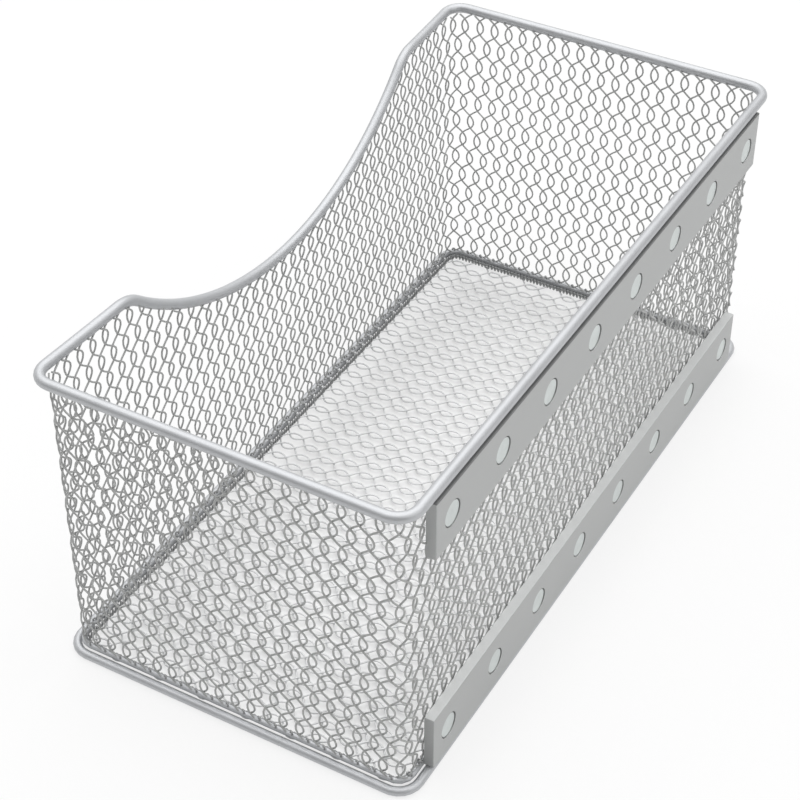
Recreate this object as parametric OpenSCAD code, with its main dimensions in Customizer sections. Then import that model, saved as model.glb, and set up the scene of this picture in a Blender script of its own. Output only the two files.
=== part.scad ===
// Open wire-mesh basket that hangs by magnets on a steel door.
// Millimetres. +X along the basket, +Y towards the magnets, +Z up.
// Origin: middle of the footprint, on the surface that the bottom ring stands on.

/* [Frame] */
// Length between the rim wire's centrelines
rim_l = 300; // [220:1:360]
// Width between the rim wire's centrelines
rim_w = 148; // [110:1:200]
// Overall height, underside of the ring to top of the rim
basket_h = 135.2; // [110:0.1:180]
// Diameter of the rim wire
rim_wire_d = 4.2; // [3:0.1:5]
// Diameter of the bottom ring wire
ring_wire_d = 3.6; // [3:0.1:4.4]
// Bend radius of the corners, at the rim wire's centreline
corner_r = 8; // [7:0.5:16]
// How far the bottom ring stands outside the rim on each side
ring_flare = 0.4; // [0.3:0.1:1.5]

/* [Front dip] */
// Depth of the dip in the front rim
dip_depth = 38.7; // [20:0.1:50]
// Radius of the dip's main curve
dip_r = 146; // [110:1:170]
// Radius of the bends at the ends of the dip
dip_bend_r = 16; // [6:0.5:20]
// Centre of the dip along the basket
dip_x = -2.5; // [-6:0.5:6]
// How far the front rim curves inwards at its middle
front_bow = 5; // [0:0.5:8]

/* [Mesh] */
// Thickness of the mesh, two crossing wires
mesh_t = 1.6; // [1.2:0.1:1.8]
// Distance from the rim's centreline in to the mesh's outer face
mesh_inset = 1.7; // [1.6:0.1:2]
// Drop from the rim's centreline to the mesh's top edge
mesh_drop = 1.9; // [1.8:0.1:2.4]
// Height of the floor mesh above the surface that the basket stands on
floor_z = 1; // [0.6:0.1:2]
// Height of the floor mesh's turned-up edge
floor_lip_h = 4; // [2:0.5:8]
// Thickness of the turned-up edge
floor_lip_t = 1; // [0.8:0.1:1.6]

/* [Magnet bars] */
// Length of each bar
bar_l = 271; // [180:1:275]
// Height of each bar
bar_h = 24.8; // [18:0.1:32]
// Sheet thickness of the bars
bar_sheet = 1; // [0.6:0.1:1.5]
// How far the bars' faces stand out past the rim
bar_proud = 0.4; // [0.3:0.1:1]

/* [Magnets] */
// Number of magnets in each bar, one node each
magnet_count = 8; // [8:1:8]
// Distance between magnets
magnet_pitch = 35.6; // [22:0.1:36]
// Magnet diameter
magnet_d = 10; // [6:0.1:14]
// How far a magnet sits below the bar's face
magnet_recess = 0.3; // [0.1:0.1:0.6]
// Bevel on a magnet's edges
magnet_bevel = 0.3; // [0.1:0.1:0.5]
// Clearance round a magnet in its hole
hole_clear = 0.2; // [0.1:0.05:0.3]

/* [Hidden] */

// Clearance between pieces that are welded or glued on the real basket
seat = 0.1;
// Round surfaces
round_fn = 48;
// Sides of the swept rim wire
wire_sides = 14;
// Stations round each corner and along the front
corner_steps = 5;
front_steps = 60;
cut = 1;

rim_r = rim_wire_d / 2;
ring_r = ring_wire_d / 2;
half_l = rim_l / 2;
half_w = rim_w / 2;
// The bars stand proud at the back only, so the frame moves forward by half of that
mid_y = -bar_proud / 2;
rim_z = basket_h - rim_r;
bar_face_y = mid_y + half_w + rim_r + bar_proud;
mesh_back_y = mid_y + half_w - mesh_inset;
bar_depth = bar_face_y - mesh_back_y - seat;
upper_bar_z = rim_z - rim_r - seat - bar_h;
lower_bar_z = ring_wire_d + seat;
magnet_t = bar_depth - magnet_recess;
hole_d = magnet_d + 2 * hole_clear;

// Geometry of the dip: one large arc between two small bends that meet the level rim
dip_rise = dip_r - dip_depth;
bend_x = sqrt(pow(dip_r + dip_bend_r, 2) - pow(dip_rise + dip_bend_r, 2));
dip_edge_x = bend_x * dip_r / (dip_r + dip_bend_r);

// Height of the rim's centreline, measured down from the level rim
function dip_at(x) =
    let (u = abs(x - dip_x))
    u >= bend_x ? 0 :
    u >= dip_edge_x ? dip_bend_r - sqrt(pow(dip_bend_r, 2) - pow(bend_x - u, 2)) :
    sqrt(pow(dip_r, 2) - pow(u, 2)) - dip_rise;

// Inward curve of the front rim at x
function bow_at(x) = front_bow * (1 - pow(min(abs(x), half_l) / half_l, 2));

// Points of one rounded corner, from its start angle
function corner_points(cx, cy, r, start) =
    [for (i = [0:corner_steps]) [cx + r * cos(start + 90 * i / corner_steps), cy + r * sin(start + 90 * i / corner_steps)]];

// Rounded outline in plan, inset from the rim's centreline, with extra points along the front
function plan_loop(inset) =
    let (cx = half_l - corner_r, cy = half_w - corner_r, r = corner_r - inset)
    concat(
        corner_points(cx, cy, r, 0),
        corner_points(-cx, cy, r, 90),
        corner_points(-cx, -cy, r, 180),
        [for (i = [1:front_steps - 1]) [-cx + 2 * cx * i / front_steps, -cy - r]],
        corner_points(cx, -cy, r, 270)
    );

function on_front(p) = p[1] <= corner_r - half_w;
function drop_at(p) = on_front(p) ? dip_at(p[0]) : 0;
function bowed(p) = [p[0], mid_y + p[1] + (on_front(p) ? bow_at(p[0]) : 0)];
function level(p) = [p[0], mid_y + p[1]];

// Loop of 3D points at the rim, dropped below its centreline
function rim_loop(inset, drop) =
    [for (p = plan_loop(inset)) concat(bowed(p), [rim_z - drop - drop_at(p)])];
function base_loop(inset, z) = [for (p = plan_loop(inset)) concat(level(p), [z])];

function unit(v) = v / norm(v);

// Faces that join rings of points of equal count; the last ring joins the first
function tube_faces(rings, sides) = [
    for (i = [0:rings - 1], k = [0:sides - 1])
        let (a = i * sides, b = ((i + 1) % rings) * sides, m = (k + 1) % sides)
        each [[a + k, b + k, a + m], [a + m, b + k, b + m]]
];

// A round wire that follows a closed loop of points
module closed_wire(path, r, sides) {
    n = len(path);
    points = [
        for (i = [0:n - 1])
            let (
                t = unit(path[(i + 1) % n] - path[(i + n - 1) % n]),
                s = unit(cross(t, [0, 0, 1])),
                v = cross(s, t)
            )
            for (k = [0:sides - 1])
                let (a = 360 * k / sides)
                path[i] + r * (cos(a) * s + sin(a) * v)
    ];
    polyhedron(points, tube_faces(n, sides));
}

// A thin upright sheet between two pairs of loops: outer and inner faces
module sheet_band(outer_low, outer_high, inner_low, inner_high) {
    n = len(outer_low);
    points = [
        for (i = [0:n - 1])
            each [outer_low[i], outer_high[i], inner_high[i], inner_low[i]]
    ];
    polyhedron(points, tube_faces(n, 4));
}

// A flat plate with rounded corners, inset from the rim's centreline
module plan_plate(inset, h) {
    cx = half_l - corner_r;
    cy = half_w - corner_r;
    r = corner_r - inset;
    translate([0, mid_y, 0]) {
        linear_extrude(h)
            union() {
                square([2 * cx, 2 * (cy + r)], center = true);
                square([2 * (cx + r), 2 * cy], center = true);
                for (sx = [-1, 1], sy = [-1, 1])
                    translate([sx * cx, sy * cy])
                        circle(r = r, $fn = round_fn);
            }
    }
}

module top_rim() {
    color([0.74, 0.75, 0.77])
        closed_wire(rim_loop(0, 0), rim_r, wire_sides);
}

// One straight side of the ring
module ring_side(length) {
    rotate([0, 90, 0])
        cylinder(h = length, r = ring_r, center = true, $fn = round_fn);
}

module bottom_ring() {
    cx = half_l - corner_r;
    cy = half_w - corner_r;
    r = corner_r + ring_flare;
    color([0.70, 0.71, 0.73])
        translate([0, mid_y, ring_r])
            union() {
                for (sy = [-1, 1])
                    translate([0, sy * (cy + r), 0])
                        ring_side(2 * cx);
                for (sx = [-1, 1])
                    translate([sx * (cx + r), 0, 0])
                        rotate([0, 0, 90])
                            ring_side(2 * cy);
                for (quarter = [[1, 1, 0], [-1, 1, 90], [-1, -1, 180], [1, -1, 270]])
                    translate([quarter[0] * cx, quarter[1] * cy, 0])
                        rotate([0, 0, quarter[2]])
                            rotate_extrude(angle = 90, $fn = round_fn)
                                translate([r, 0])
                                    circle(r = ring_r, $fn = round_fn);
            }
}

module wall_mesh() {
    inner = mesh_inset + mesh_t;
    color([0.55, 0.56, 0.58])
        sheet_band(
            base_loop(mesh_inset, floor_z), rim_loop(mesh_inset, mesh_drop),
            base_loop(inner, floor_z), rim_loop(inner, mesh_drop)
        );
}

module floor_mesh() {
    edge = mesh_inset + mesh_t + seat;
    color([0.66, 0.67, 0.69])
        translate([0, 0, floor_z])
            difference() {
                plan_plate(edge, mesh_t + floor_lip_h);
                translate([0, 0, mesh_t])
                    plan_plate(edge + floor_lip_t, floor_lip_h + cut);
            }
}

// Place of magnet i along the bar
function magnet_x(i) = (i - (magnet_count + 1) / 2) * magnet_pitch;

// Sheet-metal channel, open towards the mesh, with a hole for each magnet
module bar(z) {
    back_y = bar_face_y - bar_depth;
    translate([0, back_y, z])
        difference() {
            translate([-bar_l / 2, 0, 0])
                cube([bar_l, bar_depth, bar_h]);
            translate([-bar_l / 2 + bar_sheet, -cut, bar_sheet])
                cube([bar_l - 2 * bar_sheet, bar_depth - bar_sheet + cut, bar_h - 2 * bar_sheet]);
            for (i = [1:magnet_count])
                translate([magnet_x(i), -cut, bar_h / 2])
                    rotate([-90, 0, 0])
                        cylinder(h = bar_depth + 2 * cut, d = hole_d, $fn = round_fn);
        }
}

module upper_bar() {
    color([0.74, 0.75, 0.76])
        bar(upper_bar_z);
}

module lower_bar() {
    color([0.70, 0.71, 0.72])
        bar(lower_bar_z);
}

// Disc magnet with bevelled edges, its back on the mesh
module magnet(i, z) {
    r = magnet_d / 2;
    color([0.83, 0.85, 0.84])
        translate([magnet_x(i), mesh_back_y + seat, z + bar_h / 2])
            rotate([-90, 0, 0])
                rotate_extrude($fn = round_fn)
                    polygon([
                        [0, 0],
                        [r - magnet_bevel, 0],
                        [r, magnet_bevel],
                        [r, magnet_t - magnet_bevel],
                        [r - magnet_bevel, magnet_t],
                        [0, magnet_t]
                    ]);
}

module upper_magnet(i) {
    magnet(i, upper_bar_z);
}

module lower_magnet(i) {
    magnet(i, lower_bar_z);
}

top_rim();
bottom_ring();
wall_mesh();
floor_mesh();
upper_bar();
lower_bar();
upper_magnet(1);  // upper_magnet_1
upper_magnet(2);  // upper_magnet_2
upper_magnet(3);  // upper_magnet_3
upper_magnet(4);  // upper_magnet_4
upper_magnet(5);  // upper_magnet_5
upper_magnet(6);  // upper_magnet_6
upper_magnet(7);  // upper_magnet_7
upper_magnet(8);  // upper_magnet_8
lower_magnet(1);  // lower_magnet_1
lower_magnet(2);  // lower_magnet_2
lower_magnet(3);  // lower_magnet_3
lower_magnet(4);  // lower_magnet_4
lower_magnet(5);  // lower_magnet_5
lower_magnet(6);  // lower_magnet_6
lower_magnet(7);  // lower_magnet_7
lower_magnet(8);  // lower_magnet_8
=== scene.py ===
"""Looks of an open wire-mesh basket that hangs by magnets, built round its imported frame.

Metres, in the frame's own axes: +X along the basket, +Y out of the back, +Z up.
"""

import math
import random

import bmesh
import bpy
from bpy.props import FloatProperty, FloatVectorProperty, IntProperty, PointerProperty
from mathutils import Matrix, Vector


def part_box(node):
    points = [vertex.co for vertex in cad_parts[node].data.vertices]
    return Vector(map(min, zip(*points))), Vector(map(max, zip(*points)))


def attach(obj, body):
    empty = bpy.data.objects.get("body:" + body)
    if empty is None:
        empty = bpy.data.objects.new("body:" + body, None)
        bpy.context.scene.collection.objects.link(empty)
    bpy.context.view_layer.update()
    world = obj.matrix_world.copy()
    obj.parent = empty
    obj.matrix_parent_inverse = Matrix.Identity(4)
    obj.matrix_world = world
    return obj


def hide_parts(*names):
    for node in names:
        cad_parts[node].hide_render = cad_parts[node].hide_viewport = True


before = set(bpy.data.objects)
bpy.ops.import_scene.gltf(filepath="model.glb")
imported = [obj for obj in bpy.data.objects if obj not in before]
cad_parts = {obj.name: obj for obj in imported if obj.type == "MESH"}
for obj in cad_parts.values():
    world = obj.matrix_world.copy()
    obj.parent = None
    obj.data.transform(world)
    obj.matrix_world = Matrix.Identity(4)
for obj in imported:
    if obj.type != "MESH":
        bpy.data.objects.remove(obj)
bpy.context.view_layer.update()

bl_info = {
    "name": "Wire mesh basket",
    "version": (1, 0, 0),
    "blender": (4, 5, 0),
    "location": "3D View > Sidebar > Basket",
    "description": "Builds the wires, bars, magnets and studio of a wire mesh basket",
    "category": "Object",
}

MM = 0.001
BODY = "root"
BARS = ("upper", "lower")
MAGNETS_PER_BAR = 8
WALL_PARTS = ("near_end_mesh", "back_mesh", "far_end_mesh", "front_mesh")
SEED = 7

# Fineness of the meshes: sides of a wire's section, and points along a wire or a turn of it
HEAVY_SIDES = 24
EDGE_SIDES = 16
FINE_SIDES = 6
RIM_STATIONS = 520
RING_STATIONS = 360
EDGE_STATIONS = 320
HEM_STATIONS = 10
KNOT_STATIONS = 9

# On the sheet bars: what counts as one point, as flat, as smooth, as a fold and as a long edge
SAME_POINT = 0.005 * MM
FLAT_ANGLE = math.radians(1)
SMOOTH_ANGLE = math.radians(40)
FOLD_ANGLE = 1.0
LONG_EDGE = 2 * MM

SENSOR_MM = 36.0

rim_low, rim_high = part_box("top_rim")
ring_low, ring_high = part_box("bottom_ring")
floor_low, floor_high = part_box("floor_mesh")


def length(name, description, default, low=0.0):
    """A size in metres that the user can change."""
    return FloatProperty(
        name=name, description=description, default=default, min=low,
        unit="LENGTH", subtype="DISTANCE", precision=5,
    )


def paint(name, description, default):
    """A colour that the user can change."""
    return FloatVectorProperty(
        name=name, description=description, default=default, size=3,
        subtype="COLOR", min=0.0, max=1.0,
    )


class BasketFrameSizes(bpy.types.PropertyGroup):
    """Sizes of the two heavy wires and of the dip in the front"""

    rim_wire: length("Rim wire", "Diameter of the rim wire", 4.2 * MM)
    ring_wire: length("Ring wire", "Diameter of the bottom ring wire", ring_high.z - ring_low.z)
    corner_radius: length("Corner radius", "Bend radius of the corners at the rim's centreline", 8 * MM)
    ring_flare: length("Ring flare", "How far the ring stands outside the rim", 0.4 * MM)
    dip_radius: length("Dip radius", "Radius of the dip's main curve", 146 * MM)
    dip_depth: length("Dip depth", "Depth of the dip in the front rim", 38.7 * MM)
    dip_bend: length("Dip bend", "Radius of the bends at the ends of the dip", 16 * MM)
    dip_centre: length("Dip centre", "Centre of the dip along the basket", -2.5 * MM, -1.0)
    front_bow: length("Front bow", "How far the front rim curves inwards", 5 * MM)
    seam_place: length("Ring seam", "Where the ring's ends meet on the near end", 21.6 * MM, -1.0)


class BasketMeshSizes(bpy.types.PropertyGroup):
    """Sizes of the woven wire spirals, and of the bound edge and the wire at their foot"""

    wire: length("Mesh wire", "Diameter of the mesh wire", 0.76 * MM)
    spacing: length("Spacing", "Distance between neighbouring wires", 3.45 * MM)
    period: length("Period", "Length of one full wave of a wire", 19.34 * MM)
    swing: length("Swing", "Sideways reach of a wire from its own line", 3.55 * MM)
    depth: length("Depth", "Reach of a wire in and out of the mesh", 0.46 * MM)
    first_row: length("First row", "Height of the topmost row of eyes", 126.3 * MM)
    inset: length("Inset", "Distance from the rim's centreline to the mesh's middle", 2.5 * MM)
    top_gap: length("Top gap", "Drop from the rim's centreline to the wire ends", 0.9 * MM)
    top_reach: length("Top reach", "How far the wires lean out to end under the rim", 0.9 * MM)
    corner_pull: length("Corner pull", "How far the mesh cuts the corners at its top", 1.7 * MM)
    corner_width: length("Corner width", "Reach of that pull to each side of a corner", 14 * MM)
    row_drift: length("Row drift", "How far the rows rise and fall round the basket", 0.6 * MM)
    unevenness: length("Unevenness", "Random shift of single wires", 0.12 * MM)
    hem_pitch: length("Hem pitch", "Distance between the turns of the hem", 1.72 * MM)
    hem_height: length("Hem height", "Height of the bound edge", 2.8 * MM)
    hem_depth: length("Hem depth", "Thickness of the bound edge", 1.3 * MM)
    edge_top: length("Edge top", "Height of the wire that holds the lower wire ends", 5.4 * MM)
    edge_wire: length("Edge wire", "Diameter of that wire", 2.4 * MM)
    knot_radius: length("Knot radius", "Radius of the small loops at the lower wire ends", 0.7 * MM)
    hem_wire: length("Hem wire", "Diameter of the hem's wire", 0.85 * MM)
    step: length("Step", "Distance between points along a wire", 1.45 * MM)


class BasketColours(bpy.types.PropertyGroup):
    """Colours of the finishes and of the studio"""

    rim: paint("Rim", "Silver paint on the heavy wires", (0.52, 0.53, 0.545))
    mesh: paint("Mesh", "Silver paint on the mesh wires", (0.46, 0.465, 0.46))
    # Painted light: the floor's wires take the mesh's paint made paler, as if lit from above.
    floor: paint("Floor mesh", "Silver paint on the floor's wires, which face up", (0.74, 0.745, 0.75))
    # Painted shade: the hem's wires take the mesh's paint made darker.
    hem: paint("Hem", "Silver paint on the floor's bound edge, dulled by its shade", (0.34, 0.344, 0.345))
    bar: paint("Bars", "Silver paint on the bars", (0.46, 0.468, 0.465))
    magnet: paint("Magnets", "Nickel plating on the magnets", (0.61, 0.65, 0.64))
    ground: paint("Floor", "Floor of the studio", (0.95, 0.95, 0.95))


class BasketStudio(bpy.types.PropertyGroup):
    """Camera of the studio"""

    focal_pixels: FloatProperty(
        name="Focal length", description="Focal length in pixels of the photograph's frame",
        default=2013.6, min=1.0,
    )
    place: FloatVectorProperty(
        name="Camera place", description="Where the camera stands", size=3,
        default=(549.0 * MM, 300.3 * MM, 561.1 * MM), subtype="TRANSLATION", unit="LENGTH",
    )
    aim: FloatVectorProperty(
        name="Camera direction", description="Direction in which the camera looks", size=3,
        default=(-0.6694, -0.38424, -0.63582), subtype="DIRECTION",
    )
    roll: FloatProperty(
        name="Camera roll", description="Turn of the camera about its view",
        default=-0.0029, subtype="ANGLE", unit="ROTATION",
    )
    frame_pixels: IntProperty(name="Frame", description="Width of the photograph's frame", default=800)


# Geometry of the basket's outline

def dip_at(sizes, x):
    """Depth of the front rim below its level parts, at x."""
    rise = sizes.dip_radius - sizes.dip_depth
    reach = sizes.dip_radius + sizes.dip_bend
    bend_x = math.sqrt(reach ** 2 - (rise + sizes.dip_bend) ** 2)
    edge_x = bend_x * sizes.dip_radius / reach
    away = abs(x - sizes.dip_centre)
    if away >= bend_x:
        return 0.0
    if away >= edge_x:
        return sizes.dip_bend - math.sqrt(sizes.dip_bend ** 2 - (bend_x - away) ** 2)
    return math.sqrt(sizes.dip_radius ** 2 - away ** 2) - rise


class Outline:
    """Rounded outline in plan, counter-clockwise from the near end, set in from the rim's centreline.

    Its eight spans are, in turn: near end, arc, back, arc, far end, arc, front, arc.
    """

    SIGNS = ((1, 1), (-1, 1), (-1, -1), (1, -1))
    FIRST_FRONT_SPAN = 5

    def __init__(self, sizes, inset):
        rim_radius = sizes.rim_wire / 2
        half_width = (rim_high.y - rim_low.y) / 2 - rim_radius
        self.sizes = sizes
        self.half_length = rim_high.x - rim_radius
        self.mid_y = (rim_high.y + rim_low.y) / 2
        self.rim_z = rim_high.z - rim_radius
        self.radius = sizes.corner_radius - inset
        self.corner_x = self.half_length - sizes.corner_radius
        self.corner_y = half_width - sizes.corner_radius
        self.arc = self.radius * math.pi / 2
        self.spans = [2 * self.corner_y, self.arc, 2 * self.corner_x, self.arc] * 2
        self.total = sum(self.spans)

    def at(self, s):
        """Point, direction of travel and outward direction in plan at distance s, and the span's number."""
        s %= self.total
        span = 0
        while s > self.spans[span] and span < len(self.spans) - 1:
            s -= self.spans[span]
            span += 1
        quarter, on_arc = divmod(span, 2)
        turn = quarter * math.pi / 2
        if on_arc:
            turn += s / self.radius
        out = Vector((math.cos(turn), math.sin(turn), 0))
        travel = Vector((-out.y, out.x, 0))
        across, along = self.SIGNS[quarter]
        corner = Vector((across * self.corner_x, along * self.corner_y, 0))
        point = corner + out * self.radius
        if not on_arc:
            point -= travel * (self.spans[span] - s)
        point.y += self.mid_y
        return point, travel, out, span

    def corner_frame(self, s):
        """Centre and starting angle of the nearest corner's arc, and the distance from its start to s."""
        best = None
        for quarter, (across, along) in enumerate(self.SIGNS):
            start = sum(self.spans[:2 * quarter + 1])
            past = (s - start - self.arc / 2 + self.total / 2) % self.total - self.total / 2
            if best is None or abs(past) < abs(best[2]):
                centre = Vector((across * self.corner_x, along * self.corner_y + self.mid_y, 0))
                best = (centre, quarter * math.pi / 2, past)
        return best[0], best[1], best[2] + self.arc / 2

    def rim_point(self, s, drop=0.0):
        """Point on the rim's curve at distance s, dropped below the wire's centreline."""
        point, _, _, span = self.at(s)
        point.z = self.rim_z - drop
        if span >= self.FIRST_FRONT_SPAN:
            point.y += self.sizes.front_bow * (1 - min(1.0, abs(point.x) / self.half_length) ** 2)
            point.z -= dip_at(self.sizes, point.x)
        return point


def lines_object(name, lines, values=None, closed=False):
    """An object of loose edges, one run of points per line, with named values on the points."""
    mesh = bpy.data.meshes.new(name)
    points, edges = [], []
    for line in lines:
        first = len(points)
        points.extend(line)
        edges.extend((first + i, first + i + 1) for i in range(len(line) - 1))
        if closed:
            edges.append((len(points) - 1, first))
    mesh.from_pydata([tuple(p) for p in points], edges, [])
    for key, rows in (values or {}).items():
        flat = [value for row in rows for value in row]
        if isinstance(flat[0], float):
            mesh.attributes.new(key, "FLOAT", "POINT").data.foreach_set("value", flat)
        else:
            data = mesh.attributes.new(key, "FLOAT_VECTOR", "POINT").data
            data.foreach_set("vector", [c for vector in flat for c in vector])
    obj = bpy.data.objects.new(name, mesh)
    bpy.context.scene.collection.objects.link(obj)
    return obj


# Node trees

FLOAT = "NodeSocketFloat"
COLOUR = "NodeSocketColor"
TUBE_INPUTS = [
    ("Geometry", "NodeSocketGeometry"),
    ("Sides", "NodeSocketInt"),
    ("Wire Radius", FLOAT),
    ("Material", "NodeSocketMaterial"),
]
SPIRAL_INPUTS = [(label, FLOAT) for label in ("Period", "Swing", "Depth", "First Row", "Step")]
GEOMETRY_OUTPUT = [("Geometry", "NodeSocketGeometry")]
COLOUR_OUTPUT = [("Colour", COLOUR)]

# A wire's wave is a cosine with a little of a faster one, which makes the eyes rounder
OVERTONE = 3.0
OVERTONE_SHARE = -0.05


class Nodes:
    """Adds nodes to a tree and links them."""

    def __init__(self, tree):
        self.tree = tree

    def node(self, kind, settings=None, **inputs):
        node = self.tree.nodes.new(kind)
        for key, value in (settings or {}).items():
            setattr(node, key, value)
        for key, value in inputs.items():
            self.feed(node.inputs[key.replace("_", " ")], value)
        return node

    def feed(self, socket, value):
        if isinstance(value, bpy.types.NodeSocket):
            self.tree.links.new(value, socket)
        else:
            socket.default_value = value

    def maths(self, operation, *values):
        node = self.node("ShaderNodeMath", {"operation": operation})
        for socket, value in zip(node.inputs, values):
            self.feed(socket, value)
        return node.outputs[0]

    def vector(self, operation, *values):
        """A vector operation's outputs, with its vectors fed in order."""
        node = self.node("ShaderNodeVectorMath", {"operation": operation})
        for socket, value in zip(node.inputs, values):
            self.feed(socket, value)
        return node.outputs

    def added(self, first, second):
        return self.vector("ADD", first, second)["Vector"]

    def scaled(self, vector, amount):
        node = self.node("ShaderNodeVectorMath", {"operation": "SCALE"}, Vector=vector, Scale=amount)
        return node.outputs["Vector"]

    def joined(self, x, y, z):
        return self.node("ShaderNodeCombineXYZ", None, X=x, Y=y, Z=z).outputs[0]

    def part(self, vector, axis):
        return self.node("ShaderNodeSeparateXYZ", None, Vector=vector).outputs[axis]

    def ramp(self, value, start, end, low, high, shape="LINEAR"):
        """Takes start to low and end to high, and holds the value beyond them."""
        return self.node(
            "ShaderNodeMapRange", {"interpolation_type": shape}, Value=value,
            From_Min=start, From_Max=end, To_Min=low, To_Max=high,
        ).outputs[0]

    def attribute(self, name, kind="FLOAT"):
        node = self.node("GeometryNodeInputNamedAttribute", {"data_type": kind}, Name=name)
        return node.outputs["Attribute"]

    def coordinates(self, kind):
        return self.node("ShaderNodeTexCoord").outputs[kind]


class Group(Nodes):
    """A node group with named inputs and outputs."""

    def __init__(self, name, kind, inputs, outputs):
        super().__init__(bpy.data.node_groups.new(name, kind))
        for label, socket in inputs:
            self.tree.interface.new_socket(label, in_out="INPUT", socket_type=socket)
        for label, socket in outputs:
            self.tree.interface.new_socket(label, in_out="OUTPUT", socket_type=socket)
        self.entry = self.tree.nodes.new("NodeGroupInput").outputs
        self.exit = self.tree.nodes.new("NodeGroupOutput").inputs


def tube_from_curve(tree, curve, scale=1.0):
    """Gives a curve round walls and closed ends, realised and with its material."""
    profile = tree.node(
        "GeometryNodeCurvePrimitiveCircle", {"mode": "RADIUS"},
        Resolution=tree.entry["Sides"], Radius=tree.entry["Wire Radius"],
    )
    tube = tree.node(
        "GeometryNodeCurveToMesh", None, Curve=curve, Profile_Curve=profile.outputs["Curve"],
        Scale=scale, Fill_Caps=True,
    )
    smooth = tree.node("GeometryNodeSetShadeSmooth", None, Geometry=tube.outputs["Mesh"])
    real = tree.node("GeometryNodeRealizeInstances", None, Geometry=smooth.outputs["Geometry"])
    done = tree.node(
        "GeometryNodeSetMaterial", None, Geometry=real.outputs["Geometry"], Material=tree.entry["Material"],
    )
    tree.feed(tree.exit[0], done.outputs["Geometry"])


def spiral_wave(tree):
    """Sideways and in-out offsets of a flattened spiral at the current point."""
    run = tree.maths("SUBTRACT", tree.attribute("run"), tree.entry["First Row"])
    turns = tree.maths("DIVIDE", run, tree.entry["Period"])
    angle = tree.maths("MULTIPLY_ADD", turns, math.tau, tree.attribute("phase"))
    faster = tree.maths("COSINE", tree.maths("MULTIPLY", angle, OVERTONE))
    shape = tree.maths("MULTIPLY_ADD", faster, OVERTONE_SHARE, tree.maths("COSINE", angle))
    reach = tree.maths("MULTIPLY", tree.entry["Swing"], tree.attribute("reach"))
    side = tree.maths("MULTIPLY", shape, reach)
    lift = tree.maths("MULTIPLY", tree.maths("SINE", angle), tree.entry["Depth"])
    return side, lift


def guide_points(tree):
    """The guide lines as curves with evenly spaced points."""
    curve = tree.node("GeometryNodeMeshToCurve", None, Mesh=tree.entry["Geometry"])
    fine = tree.node(
        "GeometryNodeResampleCurve", {"mode": "LENGTH"},
        Curve=curve.outputs["Curve"], Length=tree.entry["Step"],
    )
    return fine.outputs["Curve"]


def floor_wires_tree(name):
    """Turns guide lines into flattened wire spirals that swing along X."""
    tree = Group(name, "GeometryNodeTree", TUBE_INPUTS + SPIRAL_INPUTS, GEOMETRY_OUTPUT)
    side, lift = spiral_wave(tree)
    offset = tree.joined(side, 0.0, lift)
    moved = tree.node("GeometryNodeSetPosition", None, Geometry=guide_points(tree), Offset=offset)
    tube_from_curve(tree, moved.outputs["Geometry"])
    return tree.tree


def wall_wires_tree(name):
    """Turns upright guide lines into flattened wire spirals that follow the rounded outline."""
    inputs = TUBE_INPUTS + SPIRAL_INPUTS + [("Corner Radius", FLOAT)]
    tree = Group(name, "GeometryNodeTree", inputs, GEOMETRY_OUTPUT)
    radius = tree.entry["Corner Radius"]
    side, lift = spiral_wave(tree)
    travelled = tree.maths("ADD", tree.attribute("past"), side)
    arc = tree.maths("MULTIPLY", radius, math.pi / 2)
    on_arc = tree.maths("MAXIMUM", tree.maths("MINIMUM", travelled, arc), 0.0)
    beyond = tree.maths("SUBTRACT", travelled, on_arc)
    angle = tree.maths("ADD", tree.maths("DIVIDE", on_arc, radius), tree.attribute("turn"))
    cosine = tree.maths("COSINE", angle)
    sine = tree.maths("SINE", angle)
    out = tree.joined(cosine, sine, 0.0)
    travel = tree.joined(tree.maths("MULTIPLY", sine, -1.0), cosine, 0.0)
    rise = tree.joined(0.0, tree.attribute("bow"), tree.attribute("run"))
    from_centre = tree.maths("SUBTRACT", tree.maths("ADD", radius, lift), tree.attribute("pull"))
    place = tree.added(tree.scaled(out, from_centre), tree.scaled(travel, beyond))
    place = tree.added(tree.added(place, tree.attribute("corner", "FLOAT_VECTOR")), rise)
    moved = tree.node("GeometryNodeSetPosition", None, Geometry=guide_points(tree), Position=place)
    tube_from_curve(tree, moved.outputs["Geometry"])
    return tree.tree


def round_wire_tree(name):
    """Turns a run of points into a round wire whose thickness follows the swell value."""
    tree = Group(name, "GeometryNodeTree", TUBE_INPUTS, GEOMETRY_OUTPUT)
    curve = tree.node("GeometryNodeMeshToCurve", None, Mesh=tree.entry["Geometry"])
    tube_from_curve(tree, curve.outputs["Curve"], tree.attribute("swell"))
    return tree.tree


def shared_tree(name, make):
    """The tree of that name, built on first use."""
    return bpy.data.node_groups.get(name) or make(name)


def grown(guide, tree, name, **values):
    """Runs a tree on a guide object and keeps the result as a plain mesh."""
    modifier = guide.modifiers.new("Shape", "NODES")
    modifier.node_group = tree
    sockets = {
        item.name: item.identifier
        for item in tree.interface.items_tree
        if item.item_type == "SOCKET" and item.in_out == "INPUT"
    }
    for key, value in values.items():
        modifier[sockets[key.replace("_", " ")]] = value
    bpy.context.view_layer.update()
    evaluated = guide.evaluated_get(bpy.context.evaluated_depsgraph_get())
    mesh = bpy.data.meshes.new_from_object(evaluated)
    mesh.name = name
    piece = bpy.data.objects.new(name, mesh)
    bpy.context.scene.collection.objects.link(piece)
    guide.modifiers.remove(modifier)
    bpy.data.objects.remove(guide)
    return piece


def install(piece, slot, *nodes):
    """Hangs a finished piece on the body's empty and hides the CAD nodes it stands for."""
    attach(piece, BODY)
    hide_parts(*nodes)


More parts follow.
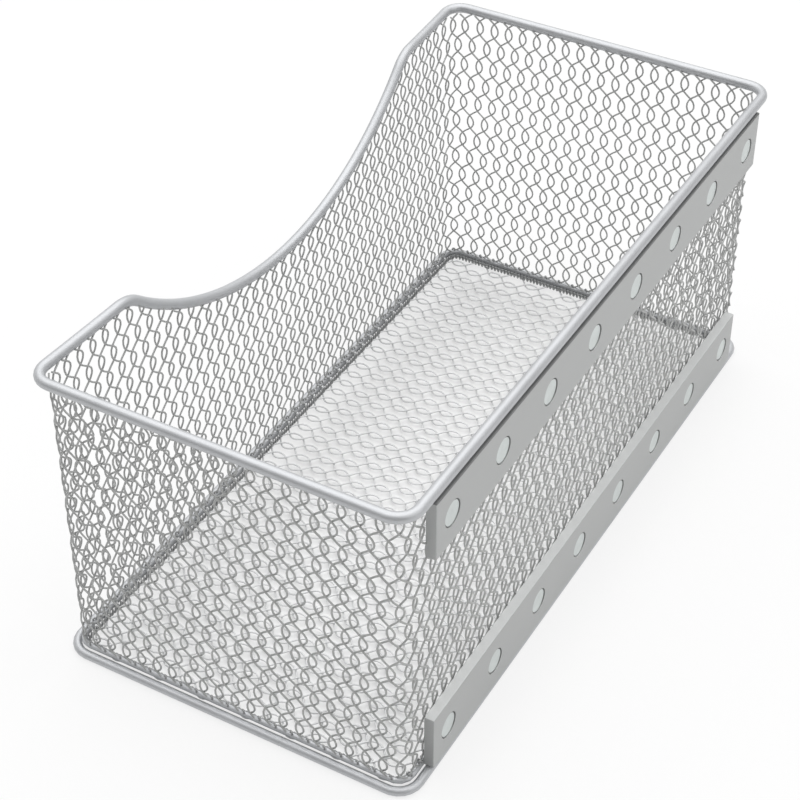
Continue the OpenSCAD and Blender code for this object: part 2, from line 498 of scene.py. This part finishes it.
def round_wires(name, lines, sides, diameter, material, swell=None):
    """Closed runs of points as round wires, with a thickness along them where swell is given."""
    swell = swell or [[1.0] * len(line) for line in lines]
    guide = lines_object(name + "_guide", lines, {"swell": swell}, closed=True)
    return grown(
        guide, shared_tree("Round wire", round_wire_tree), name,
        Sides=sides, Wire_Radius=diameter / 2, Material=material,
    )


def spiral_sizes(sizes):
    """The values that every spiral wire takes from the mesh's sizes."""
    return {
        "Sides": FINE_SIDES, "Wire_Radius": sizes.wire / 2, "Period": sizes.period,
        "Swing": sizes.swing, "Depth": sizes.depth, "Step": sizes.step,
    }


# Finishes

NOISE_MIDDLE = 0.5
GLOSS_CHANGE = 0.12
BUMP_HEIGHT = 0.05 * MM
COAT_ROUGHNESS = 0.25


def paint_grain_group(name):
    """Silver paint with lighter and darker patches, fine flakes, uneven gloss and a soft skin."""
    inputs = ("Patch Scale", "Patch Amount", "Flake Scale", "Flake Amount", "Roughness", "Bump")
    tree = Group(
        name, "ShaderNodeTree", [("Colour", COLOUR)] + [(label, FLOAT) for label in inputs],
        [("Colour", COLOUR), ("Roughness", FLOAT), ("Normal", "NodeSocketVector")],
    )
    entry = tree.entry
    place = tree.coordinates("Object")
    patches = tree.node("ShaderNodeTexNoise", None, Vector=place, Scale=entry["Patch Scale"], Detail=4.0)
    flakes = tree.node("ShaderNodeTexNoise", None, Vector=place, Scale=entry["Flake Scale"], Detail=2.0)
    patch = tree.maths("SUBTRACT", patches.outputs[0], NOISE_MIDDLE)
    flake = tree.maths("SUBTRACT", flakes.outputs[0], NOISE_MIDDLE)
    level = tree.maths("MULTIPLY_ADD", patch, entry["Patch Amount"], 1.0)
    level = tree.maths("MULTIPLY_ADD", flake, entry["Flake Amount"], level)
    bump = tree.node(
        "ShaderNodeBump", None, Strength=entry["Bump"], Distance=BUMP_HEIGHT, Height=flakes.outputs[0],
    )
    tree.feed(tree.exit["Colour"], tree.scaled(entry["Colour"], level))
    tree.feed(tree.exit["Roughness"], tree.maths("MULTIPLY_ADD", patch, GLOSS_CHANGE, entry["Roughness"]))
    tree.feed(tree.exit["Normal"], bump.outputs["Normal"])
    return tree.tree


def crevice_shade_group(name):
    """Painted shade along the top edge of a bar, in the gap under the rim wire."""
    tree = Group(name, "ShaderNodeTree", [("Colour", COLOUR), ("Height", FLOAT)], COLOUR_OUTPUT)
    below = tree.maths("SUBTRACT", tree.entry["Height"], tree.part(tree.coordinates("Object"), "Z"))
    unshaded = tree.ramp(below, start=0.3 * MM, end=0.75 * MM, low=0.34, high=1.0)
    tree.feed(tree.exit["Colour"], tree.scaled(tree.entry["Colour"], unshaded))
    return tree.tree


def painted_top_light_group(name):
    """Painted light: faces that look up are made paler, as if lit from above."""
    tree = Group(name, "ShaderNodeTree", [("Colour", COLOUR), ("Amount", FLOAT)], COLOUR_OUTPUT)
    upward = tree.part(tree.coordinates("Normal"), "Z")
    lit_from_above = tree.ramp(upward, start=0.5, end=0.95, low=0.0, high=1.0)
    paler = tree.maths("MULTIPLY_ADD", lit_from_above, tree.entry["Amount"], 1.0)
    tree.feed(tree.exit["Colour"], tree.scaled(tree.entry["Colour"], paler))
    return tree.tree


def inner_shade_group(name):
    """Painted shade on the side of a wire that faces into the basket, where the mesh ends crowd it."""
    tree = Group(name, "ShaderNodeTree", [("Colour", COLOUR), ("Share", FLOAT)], COLOUR_OUTPUT)
    normal = tree.coordinates("Normal")
    outward = tree.vector("DOT_PRODUCT", normal, tree.coordinates("Object"))["Value"]
    unshaded = tree.ramp(outward, start=-35 * MM, end=-5 * MM, low=tree.entry["Share"], high=1.0)
    tree.feed(tree.exit["Colour"], tree.scaled(tree.entry["Colour"], unshaded))
    return tree.tree


def disc_edge_shade_group(name):
    """Painted shade in the gap round a disc: everything but its two flat faces is dark."""
    tree = Group(name, "ShaderNodeTree", [("Colour", COLOUR)], COLOUR_OUTPUT)
    facing = tree.maths("ABSOLUTE", tree.part(tree.coordinates("Normal"), "Y"))
    unshaded = tree.ramp(facing, start=0.75, end=0.98, low=0.12, high=1.0)
    tree.feed(tree.exit["Colour"], tree.scaled(tree.entry["Colour"], unshaded))
    return tree.tree


def metal_finish(name, colour, metallic, coat=0.0, **grain):
    """A painted or plated metal, its grain given by name and value."""
    material = bpy.data.materials.new(name)
    material.use_nodes = True
    tree = Nodes(material.node_tree)
    group = tree.node(
        "ShaderNodeGroup", {"node_tree": shared_tree("Paint grain", paint_grain_group)},
        Colour=(*colour, 1.0), **grain,
    )
    shader = tree.tree.nodes["Principled BSDF"].inputs
    tree.feed(shader["Base Color"], group.outputs["Colour"])
    tree.feed(shader["Roughness"], group.outputs["Roughness"])
    tree.feed(shader["Normal"], group.outputs["Normal"])
    tree.feed(shader["Metallic"], metallic)
    tree.feed(shader["Coat Weight"], coat)
    tree.feed(shader["Coat Roughness"], COAT_ROUGHNESS)
    return material


def layered(material, name, make, **values):
    """Puts a colour group between a material's grain and its base colour."""
    tree = Nodes(material.node_tree)
    base = tree.tree.nodes["Principled BSDF"].inputs["Base Color"]
    layer = tree.node(
        "ShaderNodeGroup", {"node_tree": shared_tree(name, make)},
        Colour=base.links[0].from_socket, **values,
    )
    tree.feed(base, layer.outputs["Colour"])
    return material


def heavy_wire_paint(name, colours):
    """Satin silver paint on the rim and the ring."""
    return metal_finish(
        name, colours.rim, metallic=0.65, coat=0.05, Patch_Scale=60.0, Patch_Amount=0.25,
        Flake_Scale=2600.0, Flake_Amount=0.18, Roughness=0.44, Bump=0.35,
    )


def fine_wire_paint(name, colours):
    """Duller silver paint on the fine wires; the floor's copy is painted lighter, as if lit from above, and
    the hem's copy painted darker, as shade.
    """
    lit_and_shaded_copies = {
        "mesh_wire_paint": colours.mesh,
        "floor_wire_paint": colours.floor,
        "hem_wire_paint": colours.hem,
    }
    return metal_finish(
        name, lit_and_shaded_copies[name], metallic=0.45, Patch_Scale=90.0, Patch_Amount=0.3,
        Flake_Scale=3000.0, Flake_Amount=0.15, Roughness=0.42, Bump=0.2,
    )


def edge_wire_paint(name, colours):
    """Coarser silver paint on the wire behind the ring, with painted shade on its inner side."""
    material = metal_finish(
        name, colours.rim, metallic=0.5, Patch_Scale=200.0, Patch_Amount=0.3,
        Flake_Scale=1500.0, Flake_Amount=0.3, Roughness=0.4, Bump=0.5,
    )
    # Painted shade on the wire's inner side.
    return layered(material, "Inner grime", inner_shade_group, Share=0.6)


def bar_paint(name, colours):
    """Even silver paint on the bars, with painted light on the faces that look up and painted shade along
    the top edge under the rim.
    """
    material = metal_finish(
        name, colours.bar, metallic=0.35, Patch_Scale=14.0, Patch_Amount=0.06,
        Flake_Scale=2400.0, Flake_Amount=0.12, Roughness=0.46, Bump=0.3,
    )
    # Painted light: faces that look up are made paler.
    layered(material, "Settled dust", painted_top_light_group, Amount=0.4)
    underside = rim_high.z - bpy.context.scene.basket_frame.rim_wire
    # Painted shade: the bar's top edge is darkened under the rim.
    return layered(material, "Crevice", crevice_shade_group, Height=underside)


def magnet_plating(name, colours):
    """Slightly dull nickel, with painted shade on its edges."""
    material = metal_finish(
        name, colours.magnet, metallic=0.6, Patch_Scale=260.0, Patch_Amount=0.3,
        Flake_Scale=1800.0, Flake_Amount=0.1, Roughness=0.32, Bump=0.15,
    )
    # Painted shade round the disc's edge.
    return layered(material, "Disc edge", disc_edge_shade_group)


FINISHES = {
    "heavy_wire_paint": heavy_wire_paint,
    "mesh_wire_paint": fine_wire_paint,
    "floor_wire_paint": fine_wire_paint,
    "hem_wire_paint": fine_wire_paint,
    "edge_wire_paint": edge_wire_paint,
    "bar_paint": bar_paint,
    "magnet_plating": magnet_plating,
}


def finish(name):
    """The finish of that name, made on first use."""
    return bpy.data.materials.get(name) or FINISHES[name](name, bpy.context.scene.basket_colours)


# Steps that build the pieces

class BuildRim(bpy.types.Operator):
    """Bend the rim wire round the mouth and down through the front dip"""

    bl_idname = "basket.build_rim"
    bl_label = "Rim"

    def execute(self, context):
        sizes = context.scene.basket_frame
        outline = Outline(sizes, 0.0)
        line = [outline.rim_point(outline.total * i / RIM_STATIONS) for i in range(RIM_STATIONS)]
        piece = round_wires("rim_wire", [line], HEAVY_SIDES, sizes.rim_wire, finish("heavy_wire_paint"))
        install(piece, "rim_wire", "top_rim")
        return {"FINISHED"}


class BuildRing(bpy.types.Operator):
    """Bend the ring wire round the foot, with its butt weld on the near end"""

    bl_idname = "basket.build_ring"
    bl_label = "Bottom ring"

    # Width of the groove, and the wire's swell in it and on the weld that reaches out to each side
    GROOVE = 0.45 * MM
    GROOVE_END = 0.5
    GROOVE_SWELL = 0.9
    WELD_END = 1.5
    WELD_SWELL = 1.03
    SEAM_STEPS = 3

    def execute(self, context):
        sizes = context.scene.basket_frame
        outline = Outline(sizes, -sizes.ring_flare)
        seam = sizes.seam_place + outline.corner_y
        places = [outline.total * i / RING_STATIONS for i in range(RING_STATIONS)]
        places += [seam + self.GROOVE * k for k in range(-self.SEAM_STEPS, self.SEAM_STEPS + 1)]
        line, swell = [], []
        for s in sorted(places):
            point = outline.at(s)[0]
            point.z = sizes.ring_wire / 2
            line.append(point)
            swell.append(self.swell_at(abs(s - seam) / self.GROOVE))
        piece = round_wires(
            "ring_wire", [line], HEAVY_SIDES, sizes.ring_wire, finish("heavy_wire_paint"), [swell],
        )
        install(piece, "rim_wire", "bottom_ring")
        return {"FINISHED"}

    def swell_at(self, grooves):
        """Thickness of the wire at that many groove widths from the seam."""
        if grooves < self.GROOVE_END:
            return self.GROOVE_SWELL
        return self.WELD_SWELL if grooves < self.WELD_END else 1.0


class BuildWallMesh(bpy.types.Operator):
    """Weave the band of wire spirals round the four walls"""

    bl_idname = "basket.build_wall_mesh"
    bl_label = "Wall mesh"

    DRIFT_WAVES = 3
    END_TRIES = 12

    def execute(self, context):
        sizes = context.scene.basket_mesh
        outline = Outline(context.scene.basket_frame, sizes.inset)
        chance = random.Random(SEED)
        count = 2 * round(outline.total / sizes.spacing / 2)
        bottom = sizes.edge_top - sizes.edge_wire / 2
        parts = {name: [] for name in WALL_PARTS}
        for i in range(count):
            s = outline.total * (i + 0.5) / count
            foot, _, _, span = outline.at(s)
            foot.z = bottom
            centre, turn, past = outline.corner_frame(s)
            from_corner = (past - outline.arc / 2) / sizes.corner_width
            pull = sizes.corner_pull * max(0.0, 1 - from_corner ** 2) ** 2 - sizes.top_reach
            drift = sizes.row_drift * math.sin(math.tau * self.DRIFT_WAVES * s / outline.total)
            drift += chance.uniform(-1, 1) * sizes.unevenness
            phase = math.pi * (i % 2) + math.tau * drift / sizes.period
            top = outline.rim_point(s, sizes.top_gap)
            top.z = self.end_height(outline, sizes, s, phase)
            past += chance.uniform(-1, 1) * sizes.unevenness
            parts[WALL_PARTS[span // 2]].append({
                "line": (foot, top),
                "run": (foot.z, top.z),
                "phase": (phase, phase),
                "reach": (1.0, 1.0),
                "past": (past, past),
                "turn": (turn, turn),
                "pull": (0.0, pull),
                "bow": (0.0, top.y - foot.y),
                "corner": (centre, centre),
            })
        for name, wires in parts.items():
            values = {key: [wire[key] for wire in wires] for key in wires[0] if key != "line"}
            guide = lines_object(name + "_guide", [wire["line"] for wire in wires], values)
            piece = grown(
                guide, shared_tree("Wall wires", wall_wires_tree), name,
                Material=finish("mesh_wire_paint"), First_Row=sizes.first_row,
                Corner_Radius=outline.radius, **spiral_sizes(sizes),
            )
            install(piece, "mesh_wire", "wall_mesh")
        return {"FINISHED"}

    def end_height(self, outline, sizes, s, phase):
        """Height at which a wire, with its sideways swing, reaches the rim."""
        z = outline.rim_point(s, sizes.top_gap).z
        for _ in range(self.END_TRIES):
            angle = math.tau * (z - sizes.first_row) / sizes.period + phase
            z = (z + outline.rim_point(s + sizes.swing * math.cos(angle), sizes.top_gap).z) / 2
        return z


class BuildFloorMesh(bpy.types.Operator):
    """Weave the floor, turn its edges up and bind them to the walls"""

    bl_idname = "basket.build_floor_mesh"
    bl_label = "Floor mesh"

    LEVEL = 0.8 * MM
    EDGE = 0.9 * MM
    LIP = 3.2 * MM
    LIP_REACH = 0.6
    FIRST_ROW = -5.7 * MM
    HEM_INSET = 1.6 * MM
    KNOT_REACH = 0.35 * MM
    KNOT_RISE = 0.2 * MM
    KNOT_SLANT = (0.8, 0.6)

    def execute(self, context):
        sizes = context.scene.basket_mesh
        level = floor_low.z + self.LEVEL
        low_y, high_y = floor_low.y + self.EDGE, floor_high.y - self.EDGE
        across = floor_high.x - floor_low.x - 2 * self.EDGE
        count = 2 * round(across / sizes.spacing / 2)
        lines, phase = [], []
        for i in range(count):
            x = floor_low.x + self.EDGE + across * (i + 0.5) / count
            lines.append([
                Vector((x, low_y, level + self.LIP)), Vector((x, low_y, level)),
                Vector((x, high_y, level)), Vector((x, high_y, level + self.LIP)),
            ])
            phase.append([math.pi * (i % 2)] * len(lines[-1]))
        values = {
            "run": [(low_y - self.LIP, low_y, high_y, high_y + self.LIP)] * count,
            "phase": phase,
            "reach": [(self.LIP_REACH, 1.0, 1.0, self.LIP_REACH)] * count,
        }
        guide = lines_object("floor_guide", lines, values)
        piece = grown(
            guide, shared_tree("Floor wires", floor_wires_tree), "floor_wires",
            # The paler floor paint is painted light.
            Material=finish("floor_wire_paint"), First_Row=self.FIRST_ROW, **spiral_sizes(sizes),
        )
        install(piece, "mesh_wire", "floor_mesh")
        self.hem(context, level)
        self.edge_wire(context)
        self.knots(context)
        return {"FINISHED"}

    def hem(self, context, level):
        """A bound edge where the floor's turned-up wires meet the wall's lower ends."""
        sizes = context.scene.basket_mesh
        outline = Outline(context.scene.basket_frame, sizes.inset + self.HEM_INSET)
        count = HEM_STATIONS * round(outline.total / sizes.hem_pitch)
        middle = level + sizes.hem_height / 2 - sizes.hem_wire / 2
        line = []
        for i in range(count):
            angle = math.tau * i / HEM_STATIONS
            point, _, out, _ = outline.at(outline.total * i / count)
            point += out * ((sizes.hem_depth - sizes.hem_wire) / 2 * math.cos(angle))
            point.z = middle + (sizes.hem_height - sizes.hem_wire) / 2 * math.sin(angle)
            line.append(point)
        # The darker hem paint is painted shade.
        piece = round_wires("floor_hem", [line], FINE_SIDES, sizes.hem_wire, finish("hem_wire_paint"))
        install(piece, "mesh_wire", "floor_mesh")

    def edge_wire(self, context):
        """A thinner round wire behind the ring that holds the wires' lower ends."""
        sizes = context.scene.basket_mesh
        outline = Outline(context.scene.basket_frame, sizes.inset)
        line = []
        for i in range(EDGE_STATIONS):
            point = outline.at(outline.total * i / EDGE_STATIONS)[0]
            point.z = sizes.edge_top - sizes.edge_wire / 2
            line.append(point)
        piece = round_wires("edge_wire", [line], EDGE_SIDES, sizes.edge_wire, finish("edge_wire_paint"))
        install(piece, "mesh_wire", "floor_mesh")

    def knots(self, context):
        """Small loops that hook each pair of wires over the edge wire."""
        sizes = context.scene.basket_mesh
        outline = Outline(context.scene.basket_frame, sizes.inset)
        count = round(outline.total / sizes.spacing / 2)
        angles = [math.tau * k / KNOT_STATIONS for k in range(KNOT_STATIONS)]
        upright = Vector((0, 0, sizes.knot_radius))
        lines = []
        for i in range(count):
            point, travel, out, _ = outline.at(outline.total * i / count)
            middle = point + out * self.KNOT_REACH
            middle.z = sizes.edge_top + self.KNOT_RISE
            level = (travel * self.KNOT_SLANT[0] + out * self.KNOT_SLANT[1]) * sizes.knot_radius
            lines.append([middle + level * math.cos(angle) + upright * math.sin(angle) for angle in angles])
        # The loops take the hem's darker paint: painted shade.
        piece = round_wires("edge_knots", lines, FINE_SIDES, sizes.wire, finish("hem_wire_paint"))
        install(piece, "mesh_wire", "floor_mesh")


class BuildBars(bpy.types.Operator):
    """Fold the two magnet bars from sheet, with softened bends"""

    bl_idname = "basket.build_bars"
    bl_label = "Magnet bars"

    BEND_RADIUS = 0.35 * MM
    BEND_SEGMENTS = 3

    def execute(self, context):
        for which in BARS:
            node = which + "_bar"
            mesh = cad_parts[node].data.copy()
            mesh.name = node + "_sheet"
            work = bmesh.new()
            work.from_mesh(mesh)
            bmesh.ops.remove_doubles(work, verts=work.verts, dist=SAME_POINT)
            bmesh.ops.dissolve_limit(work, angle_limit=FLAT_ANGLE, verts=work.verts, edges=work.edges)
            weights = work.edges.layers.float.new("bevel_weight_edge")
            for edge in work.edges:
                folded = edge.calc_length() > LONG_EDGE and edge.calc_face_angle(0) > FOLD_ANGLE
                edge[weights] = 1.0 if folded else 0.0
            work.to_mesh(mesh)
            work.free()
            piece = bpy.data.objects.new(mesh.name, mesh)
            context.scene.collection.objects.link(piece)
            mesh.materials.clear()
            mesh.materials.append(finish("bar_paint"))
            mesh.shade_smooth()
            mesh.set_sharp_from_angle(angle=SMOOTH_ANGLE)
            bend = piece.modifiers.new("Bends", "BEVEL")
            bend.width = self.BEND_RADIUS
            bend.segments = self.BEND_SEGMENTS
            bend.limit_method = "WEIGHT"
            bend.harden_normals = True
            install(piece, "bar_sheet", node)
        return {"FINISHED"}


class FinishMagnets(bpy.types.Operator):
    """Plate the disc magnets"""

    bl_idname = "basket.finish_magnets"
    bl_label = "Magnets"

    def execute(self, context):
        for which in BARS:
            for number in range(1, MAGNETS_PER_BAR + 1):
                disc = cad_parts[f"{which}_magnet_{number}"]
                disc.data.materials.clear()
                disc.data.materials.append(finish("magnet_plating"))
        return {"FINISHED"}


# Studio

WHITE_BESIDE = 0.75
# Under the basket the floor shows less white: the real shadow plus painted shadow.
WHITE_BELOW = 0.12
SHADOW_EDGE = 25 * MM


def white_share(tree):
    """How much plain white the floor shows: less under the basket, so that its shadow stays; the footprint
    is also darker by this alone, a painted shadow on top of the real one.
    """
    away = tree.vector("ABSOLUTE", tree.coordinates("Object"))["Vector"]
    inside = tree.vector("SUBTRACT", (ring_high.x, ring_high.y, 0.0), away)["Vector"]
    depth = tree.maths("MINIMUM", tree.part(inside, "X"), tree.part(inside, "Y"))
    return tree.ramp(depth, 0.0, SHADOW_EDGE, WHITE_BESIDE, WHITE_BELOW, "SMOOTHSTEP")


def studio_white(tree, shader):
    """Mixes plain white into what the camera and reflections see of a shader."""
    path = tree.node("ShaderNodeLightPath").outputs
    seen = tree.maths("MAXIMUM", path["Is Camera Ray"], path["Is Glossy Ray"])
    seen = tree.maths("MAXIMUM", seen, path["Is Transmission Ray"])
    mix = tree.node("ShaderNodeMixShader")
    glow = tree.node("ShaderNodeEmission", None, Strength=1.0)
    tree.feed(mix.inputs[0], tree.maths("MULTIPLY", seen, white_share(tree)))
    tree.feed(mix.inputs[1], shader)
    tree.feed(mix.inputs[2], glow.outputs[0])
    return mix.outputs[0]


class BuildStage(bpy.types.Operator):
    """Set up the floor, the soft lamps and the camera"""

    bl_idname = "basket.build_stage"
    bl_label = "Studio"

    # Name, place, diameter and power in watts of each lamp
    LAMPS = (
        ("top_lamp", (-0.25, -0.2, 1.4), 2.4, 19.0),
        ("side_lamp", (0.1, 1.6, 0.9), 1.8, 6.0),
    )
    LAMP_AIM = (0.0, 0.0, 0.06)
    FLOOR_HALF = 3.0
    FLOOR_HEIGHT = -0.02 * MM

    # The sky is brightest on one side, and only part of it lights dull surfaces
    SKY_SIDE = (-0.4, -0.3, 0.87)
    SKY_FROM = -0.25
    SKY_TO = 0.55
    SKY_DARK = 0.2
    SKY_BRIGHT = 0.9
    DULL_SHARE = 0.6

    def execute(self, context):
        self.camera(context)
        self.floor(context)
        self.world(context)
        for name, place, size, power in self.LAMPS:
            self.lamp(context, name, place, size, power)
        context.scene.view_settings.view_transform = "Standard"
        return {"FINISHED"}

    def camera(self, context):
        studio = context.scene.basket_studio
        data = bpy.data.cameras.new("photo_camera")
        data.sensor_width = SENSOR_MM
        data.lens = SENSOR_MM * studio.focal_pixels / studio.frame_pixels
        camera = bpy.data.objects.new("photo_camera", data)
        context.scene.collection.objects.link(camera)
        aim = Vector(studio.aim).normalized()
        level = aim.cross(Vector((0, 0, 1))).normalized()
        upright = level.cross(aim)
        right = level * math.cos(studio.roll) + upright * math.sin(studio.roll)
        top = right.cross(aim)
        turn = Matrix((right, top, -aim)).transposed().to_4x4()
        camera.matrix_world = Matrix.Translation(studio.place) @ turn
        context.scene.camera = camera

    def floor(self, context):
        mesh = bpy.data.meshes.new("studio_floor")
        signs = ((-1, -1), (1, -1), (1, 1), (-1, 1))
        corners = [(x * self.FLOOR_HALF, y * self.FLOOR_HALF, self.FLOOR_HEIGHT) for x, y in signs]
        mesh.from_pydata(corners, [], [(0, 1, 2, 3)])
        floor = bpy.data.objects.new("studio_floor", mesh)
        context.scene.collection.objects.link(floor)
        material = bpy.data.materials.new("studio_white")
        material.use_nodes = True
        tree = Nodes(material.node_tree)
        tree.tree.nodes.remove(tree.tree.nodes["Principled BSDF"])
        matt = tree.node("ShaderNodeBsdfDiffuse", None, Color=(*context.scene.basket_colours.ground, 1.0))
        surface = studio_white(tree, matt.outputs[0])
        tree.feed(tree.tree.nodes["Material Output"].inputs["Surface"], surface)
        mesh.materials.append(material)

    def world(self, context):
        """White to the camera, and to the metal a bright sky with a darker room low on one side."""
        world = bpy.data.worlds.new("studio_world")
        world.use_nodes = True
        tree = Nodes(world.node_tree)
        towards = tree.vector("DOT_PRODUCT", tree.coordinates("Generated"), self.SKY_SIDE)["Value"]
        sky = tree.ramp(
            towards, self.SKY_FROM, self.SKY_TO, self.SKY_DARK, self.SKY_BRIGHT, "SMOOTHSTEP",
        )
        path = tree.node("ShaderNodeLightPath").outputs
        direct = tree.maths("MAXIMUM", path["Is Camera Ray"], path["Is Transmission Ray"])
        sharp = tree.maths("MAXIMUM", direct, path["Is Glossy Ray"])
        level = tree.maths("MAXIMUM", direct, sky)
        strength = tree.maths("MULTIPLY", level, tree.ramp(sharp, 0.0, 1.0, self.DULL_SHARE, 1.0))
        background = tree.tree.nodes["Background"].inputs
        tree.feed(background["Strength"], strength)
        tree.feed(background["Color"], (1.0, 1.0, 1.0, 1.0))
        context.scene.world = world

    def lamp(self, context, name, place, size, power):
        data = bpy.data.lights.new(name, "AREA")
        data.shape = "DISK"
        data.size = size
        data.energy = power
        lamp = bpy.data.objects.new(name, data)
        context.scene.collection.objects.link(lamp)
        lamp.location = place
        aim = Vector(self.LAMP_AIM) - Vector(place)
        lamp.rotation_euler = aim.to_track_quat("-Z", "Y").to_euler()


BUILDERS = (BuildStage, BuildRim, BuildRing, BuildWallMesh, BuildFloorMesh, BuildBars, FinishMagnets)
GROUPS = {
    "basket_frame": BasketFrameSizes,
    "basket_mesh": BasketMeshSizes,
    "basket_colours": BasketColours,
    "basket_studio": BasketStudio,
}


class BasketPanel(bpy.types.Panel):
    """Lists the steps that build the basket"""

    bl_idname = "VIEW3D_PT_basket"
    bl_label = "Basket"
    bl_space_type = "VIEW_3D"
    bl_region_type = "UI"
    bl_category = "Basket"

    def draw(self, context):
        column = self.layout.column()
        for builder in BUILDERS:
            column.operator(builder.bl_idname)


def register():
    for group in GROUPS.values():
        bpy.utils.register_class(group)
    for builder in BUILDERS:
        bpy.utils.register_class(builder)
    bpy.utils.register_class(BasketPanel)
    for name, group in GROUPS.items():
        setattr(bpy.types.Scene, name, PointerProperty(type=group))


def unregister():
    for name in GROUPS:
        delattr(bpy.types.Scene, name)
    bpy.utils.unregister_class(BasketPanel)
    for builder in reversed(BUILDERS):
        bpy.utils.unregister_class(builder)
    for group in reversed(list(GROUPS.values())):
        bpy.utils.unregister_class(group)


def main():
    register()
    for builder in BUILDERS:
        group, step = builder.bl_idname.split(".")
        getattr(getattr(bpy.ops, group), step)()


if __name__ == "__main__":
    main()
